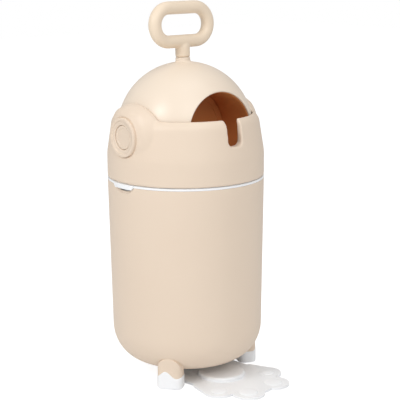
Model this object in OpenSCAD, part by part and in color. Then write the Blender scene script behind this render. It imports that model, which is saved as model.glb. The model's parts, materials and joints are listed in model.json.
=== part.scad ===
// Nappy bin with a ball shaped drum that flips over on two side hubs.
// Millimetres, +Z up, origin on the floor under the middle of the bin.
// The front, with the mouth and the foot plate, faces -Y. The hubs lie on the X axis.

/* [Base] */
// Radius of the bin where the head meets the base
body_r = 140; // [130:1:155]
// Height of the base's rim above the floor
base_h = 359.5; // [320:0.5:390]
// How much smaller the radius is at the top of the rounded bottom
base_taper = 4.4; // [1:0.2:8]
// Height of the flat underside above the floor
belly_z = 25.3; // [24.5:0.1:32]
// How far the rounded bottom edge reaches in
belly_run = 58.3; // [50:0.1:64]
// How far the rounded bottom edge reaches up
belly_rise = 64.7; // [58:0.1:75]
// Wall of the base and of the head
wall = 3; // [2.5:0.1:3.4]
// How far the base, with its feet and the foot plate, is turned under the head
base_turn = 6; // [0:1:8]

/* [Feet] */
// How far the middle of a foot lies inside the bin's radius
foot_inset = 28; // [26:1:32]
// Angle from the front of the base to each front foot
foot_spread = 61; // [57:1:64]
// Angle from the back of the base to the back foot
back_shift = 18; // [0:1:22]
// Width of a shoe, along the rim of the bin
shoe_w = 46; // [40:1:50]
// Depth of a shoe, from inside to outside
shoe_d = 34; // [28:1:36]
// Corner radius of a shoe seen from above
shoe_corner = 11; // [8:0.5:13]
// Middle height of the shoe's wavy upper edge
wave_mid = 23; // [20:0.5:25]
// Height of the waves of that edge
wave_amp = 8; // [2:0.5:9]
// How far the edge droops at both ends
wave_droop = 6; // [0:0.5:7]
// Height of the round top of the leg above the floor
leg_top = 57; // [52:1:62]
// Step from the leg in to the shoe on each side
leg_step = 1; // [0.5:0.1:2]
// Thickness of the rubber grip
grip_t = 3; // [2:0.2:4]
// How far the grip stands below the shoe
grip_proud = 1; // [0.5:0.1:1.5]

/* [Foot plate] */
// Thickness of the plate
plate_t = 4.2; // [3:0.2:5]
// Space between the plate and the floor, filled by its soles
plate_lift = 0.8; // [0.5:0.1:1.2]
// Space between the plate's neck and the nearest shoe
plate_gap = 3; // [2:0.5:6]
// Distance from the middle to the raised main pad
pad_at = 86; // [84:1:92]
// Radius of the main pad
pad_r = 43; // [36:1:44]
// Height of the main pad above the plate
pad_h = 8; // [4:0.5:9]
// Sideways distance of the outer toes
outer_toe_x = 63; // [60:1:68]
// Forward distance of the outer toes
outer_toe_y = 138; // [134:1:144]
// Radius of an outer toe
outer_toe_r = 27; // [24:1:30]
// Sideways distance of the inner toes
inner_toe_x = 33; // [30:1:36]
// Forward distance of the inner toes
inner_toe_y = 180; // [174:1:186]
// Radius of an inner toe
inner_toe_r = 29; // [26:1:31]
// Width of the plate's margin around a toe pad
toe_margin = 14; // [12:0.5:16]
// Height of a toe pad above the plate
toe_pad_h = 2; // [1:0.2:3]

/* [Plate guide] */
// Half the width of the tongue's flange
tongue_half = 18; // [15:1:22]
// Half the width of the tongue's web
web_half = 8; // [5:0.5:10]
// Thickness of the tongue's flange
flange_t = 4; // [3:0.2:4.5]
// Length of the tongue and of its guide
tongue_l = 82; // [60:1:90]
// Thickness of the guide's rails
rail_t = 3.4; // [2.5:0.1:4]
// Running gap between tongue and guide
slide_gap = 0.5; // [0.3:0.1:0.8]

/* [Bag ring] */
// Height of the ring's rim that shows between head and base
ring_show = 3.5; // [2.5:0.1:5]
// How far the ring's inner radius lies inside the bin's radius
ring_inset = 12; // [10.5:0.5:13.5]
// Thickness of the ring's wall
ring_wall = 3; // [2:0.2:3.2]
// Depth of the wall that the bag hangs over
ring_skirt = 22; // [16:1:28]
// Depth of the short rib that centres the ring in the base
centre_rib = 4.5; // [3:0.5:5]
// Width of a finger tab
tab_w = 54; // [46:1:58]
// How far a tab hangs below the ring's upper face
tab_drop = 7.6; // [6:0.2:9]
// How far a tab stands out from the bin
tab_proud = 2.8; // [2:0.1:4]
// Radius of the finger pocket under a tab
pocket_r = 8.5; // [7:0.5:9]
// Depth of the finger pocket
pocket_deep = 4; // [3:0.2:4.5]

/* [Head] */
// Height of the shadow gap between ring and head
seam_gap = 1; // [0.6:0.1:2]
// Height of the hubs above the ring
hub_rise = 81; // [76:0.5:88]
// Height of the collar's edge above the hubs
edge_up = 31; // [26:0.5:33]
// Where the wall starts to lean in, below the hubs
lean_down = 42; // [36:1:48]
// Angle at which the wall leans in
lean = 8.8; // [7.6:0.1:9]
// Radius of the soft bend where the lean starts
bend_r = 60; // [40:1:80]
// Radius of the rounded edge
crown_r = 22; // [20:0.5:23]
// Angle at which the rounded edge stops
crown_stop = 60; // [54:1:62]
// Radius of the round bulge about each hub
pod_r = 64; // [60:1:68]
// How far the face of the bulge lies inside the bin's radius
pod_sink = 2; // [1:0.1:3.5]
// Radius of the flat middle of the bulge
pod_flat = 22; // [16:1:30]
// Radius of the flatter arch that trims the top of the bulge
arch_r = 78.4; // [76:0.1:84]
// How far the middle of that arch lies below the hubs
arch_drop = 22; // [20:0.5:24]
// Radius of the hollow blend from bulge to edge
blend_r = 15; // [10:0.5:18]
// Depth of the spigot that locates the head in the ring
spigot = 4; // [3:0.1:4.4]
// Half the width of the notch for the handle's stem
notch_half = 15; // [14.2:0.1:17]
// Wall around the notch
notch_wall = 3; // [2:0.2:4]

/* [Hubs] */
// Outer radius of the hub ring
hub_r = 34.3; // [31:0.1:36]
// How far the hub ring stands out of its recess
hub_t = 7.3; // [6:0.1:8]
// Outer radius of the round cap in the hub
cap_r = 20.8; // [18:0.1:22]
// Radius of the pivot pin
pin_r = 8; // [6:0.1:9]
// Wall of the pivot bush
bush_wall = 3; // [2:0.1:4]

/* [Drum] */
// How far the ball shaped drum's radius lies inside the bin's radius
drum_room = 19; // [18.6:0.1:19.8]
// Wall of the drum
drum_wall = 3; // [2.5:0.1:3.5]
// How far the round mouth's radius lies inside the drum's radius
mouth_margin = 49; // [47:0.5:53]
// Wall of the tube through the drum
tube_wall = 2.4; // [2:0.1:3]
// How far the handle leans back at rest
drum_tilt = 2.4; // [0:0.1:3]
// Gap between the drum and the bowl that it turns in
drum_gap = 1; // [0.8:0.1:1.2]

/* [Cradle] */
// How much wider the radius of the outlet is than the mouth's
outlet_margin = 4; // [2:0.5:8]
// Width of the outlet's seal
seal_w = 8; // [6:0.5:9]
// Wall of the bowl
bowl_wall = 2.5; // [2:0.1:3]
// How far the bowl's upper edge lies below the hubs
bowl_down = 46; // [42:1:48]
// How far the bowl's flange lies below the hubs
flange_down = 60; // [56:1:66]

/* [Handle] */
// Radius of the stem
stem_r = 13; // [11:0.1:13.2]
// Radius of the ring's round section
grip_r = 11.2; // [9:0.1:12]
// Height of the ring's middle above the drum's surface
ring_rise = 64.3; // [59:0.1:71]
// Half the distance between the ring's two bars
bar_half = 29.25; // [26:0.25:32]
// Half the length of the straight bars
bar_l = 30.25; // [24:0.25:34]
// Height of the joint between stem and drum above the drum's surface
joint_rise = 7; // [5.5:0.5:10]

/* [Plunger] */
// Thickness of the plunger
plunger_t = 8; // [6:0.5:12]
// Where the plunger's front lies at rest, in front of the hubs
plunger_at = 22; // [10:1:40]
// Width of the stop at each end of the tube
stop_w = 2.4; // [2:0.1:3]

/* [Hidden] */
$fn = 96;

// Colours
beige = [0.92, 0.85, 0.77];
soft_beige = [0.95, 0.90, 0.83];
brown = [0.45, 0.24, 0.12];
white = [0.94, 0.94, 0.94];
rubber = [0.55, 0.55, 0.56];
steel = [0.72, 0.73, 0.75];

// Gaps: between parts that lie on each other, that fit in each other, and of a running pin
rest_gap = 0.2;
fit_gap = 0.4;
seat_gap = 0.1;
run_gap = 0.05;
over = 1;

// Main radii and heights
low_r = body_r - base_taper;
foot_at = body_r - foot_inset;
ring_in_r = body_r - ring_inset;
pod_x = body_r - pod_sink;
drum_r = body_r - drum_room;
mouth_r = drum_r - mouth_margin;
outlet_r = mouth_r + outlet_margin;
belly_top = belly_z + belly_rise;
ring_z = base_h + rest_gap;
ring_top = ring_z + ring_show;
head_z = ring_top + seam_gap;
hub_z = ring_top + hub_rise;

// Feet
shoe_z = grip_proud;
grip_inset = 5;
screw_r = 2;
screw_head_r = 4;
screw_head_t = 3;
screw_l = 24;
screw_play = 2;
screw_z = grip_t + rest_gap;
crest_at = -9;
dip_at = 9;
wave_fade = 0.6;
FOOT_ANGLES = [-90 - foot_spread, -90 + foot_spread, 90 - back_shift];

// Foot plate: the pads sit in shallow seats. The neck passes between the inner corners of the front shoes
corner_x = foot_at * sin(foot_spread) - shoe_w / 2 * cos(foot_spread) - shoe_d / 2 * sin(foot_spread);
corner_y = -foot_at * cos(foot_spread) - shoe_w / 2 * sin(foot_spread) + shoe_d / 2 * cos(foot_spread);
neck_half = corner_x - plate_gap;
plate_z = plate_lift;
plate_top = plate_z + plate_t;
sole_t = 2.2;
pad_seat = 1.2;
pad_seat_r = pad_r - 4;
toe_lip = 1.5;
neck_flare = 5;
neck_run = 20;
neck_join = 6;
palm_extra = 3;
toe_turn = 32;
heel_r = 22;
heel_reach = 8;
tongue_shift = 3;
tongue_back = tongue_l / 2 + tongue_shift;
tongue_front = tongue_back - tongue_l;
guide_top = belly_z;
guide_plate_t = 4.6;
tongue_top = guide_top - guide_plate_t - slide_gap;
lip_top = tongue_top - flange_t - slide_gap;
guide_half = tongue_half + slide_gap + rail_t;
guide_ear = 9;
guide_screw_l = 7;
guide_l = tongue_l + slide_gap + rail_t;
GUIDE_SCREWS = [for (sx = [-1, 1], sy = [-1, 1]) [sx * (guide_half + guide_ear / 2), sy * tongue_l / 3]];

// Bag ring
tab_bevel = 4.2;
pocket_room = 8;

// Head
edge_trim = 0.6;
blend_t = wall + 1.2;
blend_share = 0.7;
crown_z = edge_up - crown_r * sin(crown_stop);
bend_end = [body_r - bend_r + bend_r * cos(lean), -lean_down + bend_r * sin(lean)];
lean_l = (crown_z + crown_r * sin(lean) - bend_end[1]) / cos(lean);
crown_c = [bend_end[0] - lean_l * sin(lean) - crown_r * cos(lean), crown_z];
clear_r = drum_r + drum_gap;
pod_root = sqrt(clear_r * clear_r - pod_r * pod_r);
pod_back = 20;
pod_in = pod_root - pod_back;
arch_round = 34;
arch_flat = arch_r - arch_round;
arch_top = arch_r - arch_drop;
arch_root = sqrt(clear_r * clear_r - arch_top * arch_top);
boss_wall = 5;
boss_r = pin_r + bush_wall + boss_wall;
boss_gap = 2;
boss_in = clear_r + boss_gap;
hub_recess = 4;
hub_floor = pod_x - hub_recess;
hub_fit = 0.3;
bush_flange = 1.5;
CRADLE_ANGLES = [45, 135, 225, 315];
cradle_boss_r = 6;
cradle_boss_l = 22;
cradle_screw_l = 17;
cradle_screw_at = body_r - wall - cradle_boss_r + over;
flange_z = hub_z - flange_down;
flange_th = 3;

// Hub rings and caps
hub_round = 1.2;
hub_rim = 5.6;
hub_step = 1.5;
cap_gap = 0.6;
cap_t = 2.6;
cap_rim = 5;
cap_dish = 0.6;
cap_peg_r = 2.9;
cap_peg_l = 9;

// Drum
tube_out = mouth_r - seat_gap;
tube_in = tube_out - tube_wall;
mouth_y = sqrt(drum_r * drum_r - mouth_r * mouth_r);
mouth_lip = 1.6;
tube_end = mouth_y - mouth_lip;
stop_t = 2;
pin_sink = 29;
pin_in = drum_r - pin_sink;
pin_end = 2;
pin_out = hub_floor + pin_end;
socket_wall = 5;
socket_floor = 2;

// Handle and plunger
ring_up = drum_r + ring_rise;
stem_joint = drum_r + joint_rise;
spigot_r = 8;
spigot_l = 9;
spigot_in = drum_r - spigot_l;
stem_seat = 4;
handle_screw_r = 2.5;
handle_screw_l = 20;
plunger_play = 2.3;
plunger_r = tube_in - plunger_play;
groove = plunger_t / 4;
groove_deep = 1.5;
seal_play = 0.3;
dish_rim = 8;
dish_deep = 2;

function flip(list) = [for (i = [len(list) - 1:-1:0]) list[i]];
function arc(c, rx, ry, from, to, n) =
    [for (i = [0:n]) let (a = from + (to - from) * i / n) [c[0] + rx * cos(a), c[1] + ry * sin(a)]];

// ---------- base ----------

// Outline of the pail from the middle of its bottom up to the rim, drawn in by t
function pail(t, top) = concat([[0, belly_z + t]],
    arc([low_r - belly_run, belly_top], belly_run - t, belly_rise - t, 270, 360, 20),
    [[body_r - t, top]]);

module pail_solid(t, top) {
    rotate_extrude() polygon(concat(pail(t, top), [[0, top]]));
}

// Half-size of the finger pocket's straight part, and its middle
pocket_inset = 3.5;
pocket_lift = 1.5;
pocket_wall = 2.4;
pocket_half = tab_w / 2 - pocket_inset - pocket_r;
pocket_x = body_r + pocket_r - pocket_deep;
pocket_z = ring_top - tab_drop - fit_gap;
pocket_top = pocket_z + pocket_lift;

module pocket_form(r) {
    translate([pocket_x, 0, pocket_z]) {
        rotate([90, 0, 0]) cylinder(r = r, h = 2 * pocket_half, center = true);
        for (s = [-1, 1]) translate([0, s * pocket_half, 0]) sphere(r = r);
    }
}

module below(z) {
    translate([-2 * body_r, -2 * body_r, z - 4 * body_r]) cube(4 * body_r);
}

// Height of the shoe's wavy edge, t across the shoe
function wave(t) = let (u = t / (shoe_w / 2))
    wave_mid - wave_droop * u * u
    + wave_amp * (1 - wave_fade * u * u) * cos(180 * (t - crest_at) / (dip_at - crest_at));

module rounded(w, d, r, h) {
    linear_extrude(h) union() {
        square([w - 2 * r, d], center = true);
        square([w, d - 2 * r], center = true);
        for (sx = [-1, 1], sy = [-1, 1]) translate([sx * (w / 2 - r), sy * (d / 2 - r)]) circle(r = r);
    }
}

// Stands a drawing in the Y-Z plane and gives it a depth along X about the foot
module foot_slab(depth) {
    rotate([90, 0, 90]) translate([0, 0, -depth]) linear_extrude(2 * depth) children();
}

// Turns what belongs to the base, the way it stands in under the head
module turned() {
    rotate([0, 0, base_turn]) children();
}

module at_foot(a) {
    turned() rotate([0, 0, a]) translate([foot_at, 0, 0]) children();
}

module wave_edge(w, top) {
    steps = 28;
    polygon(concat([for (i = [0:steps]) let (t = -w / 2 + w * i / steps) [t, wave(t)]],
        [[w / 2, top], [-w / 2, top]]));
}

module leg() {
    w = shoe_w - 2 * leg_step;
    d = shoe_d - 2 * leg_step;
    difference() {
        intersection() {
            rounded(d, w, shoe_corner - leg_step, leg_top + over);
            foot_slab(shoe_d) wave_edge(shoe_w + 2 * over, leg_top + over);
            foot_slab(shoe_d) union() {
                translate([0, leg_top - w / 2]) circle(r = w / 2);
                translate([-w / 2, 0]) square([w, leg_top - w / 2]);
            }
        }
        cylinder(r = screw_r + run_gap, h = screw_z + screw_head_t + screw_l + screw_play);
    }
}

module base_shell() {
    color(beige) difference() {
        union() {
            rotate_extrude() polygon(concat(pail(0, base_h), flip(pail(wall, base_h))));
            for (s = [0, 180]) rotate([0, 0, s]) intersection() {
                pocket_form(pocket_r + pocket_wall);
                below(pocket_top + pocket_wall);
                pail_solid(wall / 2, base_h);
            }
            difference() {
                for (a = FOOT_ANGLES) at_foot(a) leg();
                pail_solid(wall, base_h);
            }
        }
        for (s = [0, 180]) rotate([0, 0, s]) intersection() {
            pocket_form(pocket_r);
            below(pocket_top);
        }
        turned() for (p = GUIDE_SCREWS) translate([p[0], p[1], belly_z - over])
            cylinder(r = screw_r + run_gap, h = wall + 2 * over);
    }
}

module shoe() {
    head_top = screw_z + screw_head_t + rest_gap;
    difference() {
        intersection() {
            translate([0, 0, shoe_z]) rounded(shoe_d, shoe_w, shoe_corner, leg_top);
            foot_slab(shoe_d) difference() {
                translate([-shoe_w, 0]) square([2 * shoe_w, leg_top]);
                wave_edge(shoe_w + 2 * over, leg_top + over);
            }
        }
        translate([0, 0, -over]) rounded(shoe_d - 2 * grip_inset + fit_gap, shoe_w - 2 * grip_inset + fit_gap,
            shoe_corner - grip_inset / 2, grip_t + over + seat_gap);
        cylinder(r = screw_head_r + fit_gap, h = head_top);
        cylinder(r = screw_r + seat_gap, h = leg_top);
    }
}

module foot_front_left() { color(white) at_foot(FOOT_ANGLES[0]) shoe(); }
module foot_front_right() { color(white) at_foot(FOOT_ANGLES[1]) shoe(); }
module foot_back() { color(white) at_foot(FOOT_ANGLES[2]) shoe(); }

module foot_grips() {
    color(rubber) for (a = FOOT_ANGLES) at_foot(a)
        rounded(shoe_d - 2 * grip_inset, shoe_w - 2 * grip_inset, shoe_corner - grip_inset / 2, grip_t);
}

module screw(r, head_r, head_t, l) {
    cylinder(r = head_r, h = head_t);
    translate([0, 0, head_t / 2]) cylinder(r = r, h = l + head_t / 2);
}

module foot_screws() {
    color(steel) for (a = FOOT_ANGLES) at_foot(a)
        translate([0, 0, screw_z]) screw(screw_r, screw_head_r, screw_head_t, screw_l);
}

// ---------- foot plate ----------

TOES = [[-outer_toe_x, -outer_toe_y, outer_toe_r], [-inner_toe_x, -inner_toe_y, inner_toe_r],
        [inner_toe_x, -inner_toe_y, inner_toe_r], [outer_toe_x, -outer_toe_y, outer_toe_r]];
paw_y = corner_y - neck_run;
heel_y = tongue_back + heel_reach;

// Point on the outer toe's rim where the edge of the paw's middle starts
function toe_side(s) =
    [s * (outer_toe_x + outer_toe_r * cos(toe_turn)), -outer_toe_y + outer_toe_r * sin(toe_turn)];

module paw_outline() {
    for (t = TOES) translate([t[0], t[1]]) circle(r = t[2]);
    translate([0, -inner_toe_y + inner_toe_r / 2]) circle(r = inner_toe_r + palm_extra);
    polygon(concat([[-neck_half - neck_flare, paw_y], toe_side(-1)],
        [for (t = TOES) [t[0], t[1]]],
        [toe_side(1), [neck_half + neck_flare, paw_y]]));
    translate([-neck_half, paw_y - neck_join])
        square([2 * neck_half, heel_y - paw_y - heel_r + neck_join]);
    translate([-neck_half + heel_r, paw_y]) square([2 * (neck_half - heel_r), heel_y - paw_y]);
    for (s = [-1, 1]) translate([s * (neck_half - heel_r), heel_y - heel_r]) circle(r = heel_r);
}

SOLES = concat([for (t = TOES) [t[0], t[1], t[2] - toe_margin]], [[0, -pad_at, pad_r / 2]]);

module foot_plate() {
    color(white) turned() difference() {
        union() {
            translate([0, 0, plate_z]) linear_extrude(plate_t) paw_outline();
            translate([-web_half, tongue_front, plate_z + over])
                cube([2 * web_half, tongue_l, tongue_top - plate_z - over]);
            translate([-tongue_half, tongue_front, tongue_top - flange_t])
                cube([2 * tongue_half, tongue_l, flange_t]);
        }
        for (s = SOLES) translate([s[0], s[1], 0]) cylinder(r = s[2] + seat_gap, h = sole_t + seat_gap);
        for (t = TOES) translate([t[0], t[1], plate_top - pad_seat])
            cylinder(r = t[2] - toe_margin + seat_gap, h = pad_seat + over);
        translate([0, -pad_at, plate_top - pad_seat])
            cylinder(r = pad_seat_r + seat_gap, h = pad_seat + over);
        cylinder(r = heel_r + seat_gap, h = sole_t + seat_gap);
    }
}

module main_pad() {
    edge = 3;
    color(white) turned() translate([0, -pad_at, plate_top]) {
        translate([0, 0, -pad_seat + seat_gap]) cylinder(r = pad_seat_r, h = pad_seat + over);
        rotate_extrude() polygon(concat([[0, 0], [pad_r, 0]],
            arc([pad_r - edge, pad_h - edge], edge, edge, 0, 90, 6), [[0, pad_h]]));
    }
}

module toe_pads() {
    color(white) turned() for (t = TOES) translate([t[0], t[1], plate_top]) {
        pad = t[2] - toe_margin;
        translate([0, 0, -pad_seat + seat_gap]) cylinder(r = pad, h = pad_seat + over / 2);
        rotate_extrude() polygon(concat([[0, 0], [pad + toe_lip, 0]],
            arc([0, 0], pad + toe_lip, toe_pad_h, 8, 90, 8)));
    }
}

module plate_soles() {
    color(rubber) {
        turned() for (s = SOLES) translate([s[0], s[1], 0]) cylinder(r = s[2], h = sole_t);
        cylinder(r = heel_r, h = sole_t);
    }
}

module plate_guide() {
    color(white) turned() difference() {
        union() {
            translate([-guide_half - guide_ear, tongue_front, guide_top - guide_plate_t])
                cube([2 * (guide_half + guide_ear), guide_l, guide_plate_t]);
            for (s = [0, 1]) mirror([s, 0, 0]) {
                translate([tongue_half + slide_gap, tongue_front, lip_top - rail_t])
                    cube([rail_t, guide_l, guide_top - lip_top + rail_t - over]);
                translate([web_half + slide_gap, tongue_front, lip_top - rail_t])
                    cube([tongue_half - web_half + over, guide_l, rail_t]);
            }
            translate([-guide_half, tongue_back + slide_gap, lip_top - rail_t])
                cube([2 * guide_half, rail_t, guide_top - lip_top + rail_t - over]);
        }
        for (p = GUIDE_SCREWS) translate([p[0], p[1], 0])
            cylinder(r = screw_r + seat_gap, h = guide_top + over);
    }
}

module guide_screws() {
    color(steel) turned() for (p = GUIDE_SCREWS)
        translate([p[0], p[1], guide_top - guide_plate_t - screw_head_t])
            screw(screw_r, screw_head_r, screw_head_t, guide_screw_l);
}

// ---------- bag ring ----------

module bag_ring() {
    skirt_r = ring_in_r + ring_wall;
    rib_out = body_r - wall - fit_gap;
    rib_in = rib_out - ring_wall;
    land_r = body_r - wall - over;
    color(white) {
        difference() {
            rotate_extrude() polygon([
                [ring_in_r, ring_z - ring_skirt], [skirt_r, ring_z - ring_skirt], [skirt_r, ring_z],
                [rib_in, ring_z], [rib_in, ring_z - centre_rib], [rib_out, ring_z - centre_rib],
                [rib_out, ring_z], [body_r, ring_z], [body_r, ring_top], [land_r, ring_top],
                [land_r, head_z - rest_gap], [ring_in_r, head_z - rest_gap]]);
            for (s = [-1, 1]) translate([s * (rib_in + rib_out) / 2, 0, ring_z - (centre_rib + over) / 2])
                cube([3 * ring_wall, tab_w + pocket_room, centre_rib + over], center = true);
        }
        for (s = [0, 180]) rotate([0, 0, s]) tab();
    }
}

// Finger tab: a strip with slanted ends, bent round the bin
module tab() {
    half = tab_w / 2;
    low = ring_top - tab_drop;
    intersection() {
        difference() {
            translate([0, 0, ring_z - 2 * tab_drop]) cylinder(r = body_r + tab_proud, h = 4 * tab_drop);
            difference() {
                translate([0, 0, ring_z - 3 * tab_drop]) cylinder(r = body_r + fit_gap, h = 6 * tab_drop);
                translate([0, 0, ring_z]) difference() {
                    cylinder(r = body_r + over, h = ring_show);
                    translate([0, 0, -over]) cylinder(r = body_r - over, h = ring_show + 2 * over);
                }
            }
        }
        rotate([90, 0, 90]) linear_extrude(body_r + 2 * tab_proud) polygon([
            [-half, ring_top], [-half, low + tab_bevel], [-half + tab_bevel, low],
            [half - tab_bevel, low], [half, low + tab_bevel], [half, ring_top]]);
    }
}

// ---------- head ----------

// Outline of the collar from its lower edge to its rounded upper edge, drawn in by t
function collar(t, bottom) = concat([[body_r - t, bottom]],
    [for (p = arc([body_r - bend_r, -lean_down], bend_r - t, bend_r - t, 0, lean, 4)) [p[0], p[1] + hub_z]],
    [for (p = arc(crown_c, crown_r - t, crown_r - t, lean, crown_stop, 10)) [p[0], p[1] + hub_z]]);

module collar_solid() {
    pts = collar(0, head_z);
    rotate_extrude() polygon(concat([[0, head_z]], pts, [[0, pts[len(pts) - 1][1]]]));
}

module collar_space() {
    pts = collar(wall, head_z - over);
    outer = collar(0, head_z);
    inner_end = pts[len(pts) - 1];
    tip = inner_end + (outer[len(outer) - 1] - [over / 2, 0] - inner_end) * 2;
    rotate_extrude() polygon(concat([[0, head_z - over]], pts, [tip, [0, tip[1]]]));
}

// Round lens whose rim has radius r and lies at root, drawn in by t
module lens(r, flat, root, t, n) {
    rim = arc([flat, root - 2 * t], r - t - flat, pod_x + t - root, 90, 0, n);
    translate([0, 0, hub_z]) rotate([0, 90, 0]) rotate_extrude()
        polygon(concat([[0, pod_in], [0, pod_x - t]], rim, [[r - t, pod_in]]));
}

// Bulge about a hub: a lens, trimmed at the top by a flatter one
module pod(t) {
    intersection() {
        lens(pod_r, pod_flat, pod_root, t, 10);
        translate([0, 0, -arch_drop]) lens(arch_r, arch_flat, arch_root, t, 6);
    }
}

// Hollow corner between the bulge and the collar's edge, seen from the side
module blend_outline() {
    reach = pod_r + blend_r;
    up = edge_up - over / 2 + blend_r;
    side = sqrt(reach * reach - up * up);
    touch = [side, up] * pod_r / reach;
    inner = side * blend_share;
    for (s = [0, 1]) mirror([s, 0]) difference() {
        polygon([touch, [side, edge_up], [side, edge_up - wall], [inner, edge_up - wall], [inner, touch[1]]]);
        translate([side, up]) circle(r = blend_r);
    }
}

module blends() {
    intersection() {
        mid_sphere(clear_r + blend_t);
        translate([0, 0, hub_z]) rotate([90, 0, 90]) translate([0, 0, -body_r]) linear_extrude(2 * body_r)
            blend_outline();
    }
}

module notch_form(half) {
    translate([0, 0, hub_z]) rotate([90, 0, 0]) linear_extrude(3 * body_r, center = true) {
        circle(r = half);
        translate([-half, 0]) square([2 * half, edge_up + crown_r]);
    }
}

module mid_sphere(r) {
    translate([0, 0, hub_z]) sphere(r = r);
}

module along_x(x0, x1, r) {
    translate([x0, 0, hub_z]) rotate([0, 90, 0]) cylinder(r = r, h = x1 - x0);
}

module head_shell() {
    skirt_out = ring_in_r - fit_gap;
    color(beige) difference() {
        union() {
            difference() {
                union() {
                    collar_solid();
                    for (s = [0, 180]) rotate([0, 0, s]) pod(0);
                }
                collar_space();
                for (s = [0, 180]) rotate([0, 0, s]) pod(wall);
            }
            blends();
            rotate_extrude() polygon([[skirt_out - wall, head_z - spigot], [skirt_out, head_z - spigot],
                [skirt_out, head_z], [body_r - wall / 2, head_z], [body_r - wall / 2, head_z + wall],
                [skirt_out - wall, head_z + wall]]);
            intersection() {
                notch_form(notch_half + notch_wall);
                collar_solid();
                below(hub_z + edge_up - edge_trim);
            }
            for (s = [0, 180]) rotate([0, 0, s]) {
                along_x(boss_in, pod_x - wall + over / 2, boss_r);
                intersection() {
                    along_x(hub_floor - wall, pod_x, hub_r + wall);
                    pod(0);
                }
            }
            intersection() {
                for (a = CRADLE_ANGLES) rotate([0, 0, a])
                    translate([cradle_screw_at, 0, flange_z + flange_th + rest_gap])
                        cylinder(r = cradle_boss_r, h = cradle_boss_l);
                collar_solid();
            }
        }
        mid_sphere(clear_r);
        notch_form(notch_half);
        for (s = [0, 180]) rotate([0, 0, s]) {
            along_x(boss_in - over, pod_x + over, pin_r + bush_wall + seat_gap);
            along_x(hub_floor, pod_x + 2 * over, hub_r + hub_fit);
        }
        for (a = CRADLE_ANGLES) rotate([0, 0, a]) translate([cradle_screw_at, 0, flange_z])
            cylinder(r = screw_r + run_gap, h = cradle_screw_l + screw_play);
    }
}

bowl_in = clear_r;
bowl_out = bowl_in + bowl_wall;
bowl_low = -sqrt(bowl_in * bowl_in - (outlet_r + seal_w) * (outlet_r + seal_w));
outlet_low = -sqrt(bowl_in * bowl_in - outlet_r * outlet_r);
seal_in = drum_r + fit_gap;

// Part of a bowl about the drum between two radii. Its edges point at the middle of the drum,
// and their heights are those on the inner face of the cradle
module bowl(r0, r1, z0, z1) {
    from = asin(z0 / bowl_in);
    to = asin(z1 / bowl_in);
    translate([0, 0, hub_z]) rotate_extrude()
        polygon(concat(arc([0, 0], r0, r0, from, to, 14), flip(arc([0, 0], r1, r1, from, to, 14))));
}

module drum_cradle() {
    flange_in = sqrt(bowl_out * bowl_out - flange_down * flange_down) - bowl_wall / 2;
    color(beige) difference() {
        union() {
            bowl(bowl_in, bowl_out, bowl_low, -bowl_down);
            rotate_extrude() polygon([[flange_in, flange_z], [body_r - wall - fit_gap, flange_z],
                [body_r - wall - fit_gap, flange_z + flange_th], [flange_in, flange_z + flange_th]]);
        }
        for (a = CRADLE_ANGLES) rotate([0, 0, a]) translate([cradle_screw_at, 0, flange_z - over])
            cylinder(r = screw_r + seat_gap, h = flange_th + 2 * over);
    }
}

module outlet_seal() {
    color(rubber) bowl(seal_in, bowl_out + over, outlet_low, bowl_low - rest_gap);
}

module drum_seal() {
    color(rubber) bowl(seal_in, bowl_out, -bowl_down + rest_gap, -bowl_down + seal_w);
}

module cradle_screws() {
    color(steel) for (a = CRADLE_ANGLES) rotate([0, 0, a])
        translate([cradle_screw_at, 0, flange_z - screw_head_t])
            screw(screw_r, screw_head_r, screw_head_t, cradle_screw_l);
}

module side(s) {
    rotate([0, 0, s < 0 ? 180 : 0]) children();
}

module bush() {
    difference() {
        union() {
            along_x(boss_in, hub_floor + over, pin_r + bush_wall);
            along_x(hub_floor + run_gap, hub_floor + bush_flange, pin_r + 2 * bush_wall);
        }
        along_x(boss_in - over, hub_floor + 2 * bush_flange, pin_r + run_gap);
    }
}

module pivot_bush_left() { color(white) side(-1) bush(); }
module pivot_bush_right() { color(white) side(1) bush(); }

module hub_ring() {
    in_r = cap_r + cap_gap;
    rim_r = hub_r - hub_round - hub_rim;
    x0 = hub_floor + rest_gap;
    x1 = x0 + hub_t;
    low = x1 - hub_step;
    translate([0, 0, hub_z]) rotate([0, 90, 0]) rotate_extrude() polygon([
        [in_r, x0], [hub_r, x0], [hub_r, x1 - hub_round], [hub_r - hub_round, x1], [rim_r, x1],
        [rim_r - over, low], [in_r + hub_round, low], [in_r, low - hub_round]]);
}

module hub_ring_left() { color(beige) side(-1) hub_ring(); }
module hub_ring_right() { color(beige) side(1) hub_ring(); }

// ---------- drum ----------

// Places the drum's pieces at the hubs, leaning back by the tilt
module in_drum() {
    translate([0, 0, hub_z]) rotate([-drum_tilt, 0, 0]) children();
}

module x_rod(x0, x1, r) {
    translate([x0, 0, 0]) rotate([0, 90, 0]) cylinder(r = r, h = x1 - x0);
}

module drum_shell() {
    color(soft_beige) in_drum() difference() {
        union() {
            difference() {
                sphere(r = drum_r);
                sphere(r = drum_r - drum_wall);
            }
            for (s = [0, 180]) rotate([0, 0, s])
                x_rod(pin_in - socket_floor, drum_r - drum_wall / 2, pin_r + socket_wall);
            translate([0, 0, spigot_in - stem_seat])
                cylinder(r = stem_r - over, h = spigot_l + stem_seat - drum_wall / 2);
            translate([0, 0, drum_r - drum_wall]) cylinder(r = stem_r, h = joint_rise + drum_wall);
        }
        rotate([90, 0, 0]) cylinder(r = mouth_r, h = 3 * drum_r, center = true);
        for (s = [0, 180]) rotate([0, 0, s]) x_rod(pin_in, drum_r + over, pin_r + run_gap);
        translate([0, 0, spigot_in]) cylinder(r = spigot_r + seat_gap, h = stem_joint);
        translate([0, 0, spigot_in - stem_seat - over])
            cylinder(r = handle_screw_r + seat_gap, h = stem_joint);
    }
}

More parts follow.
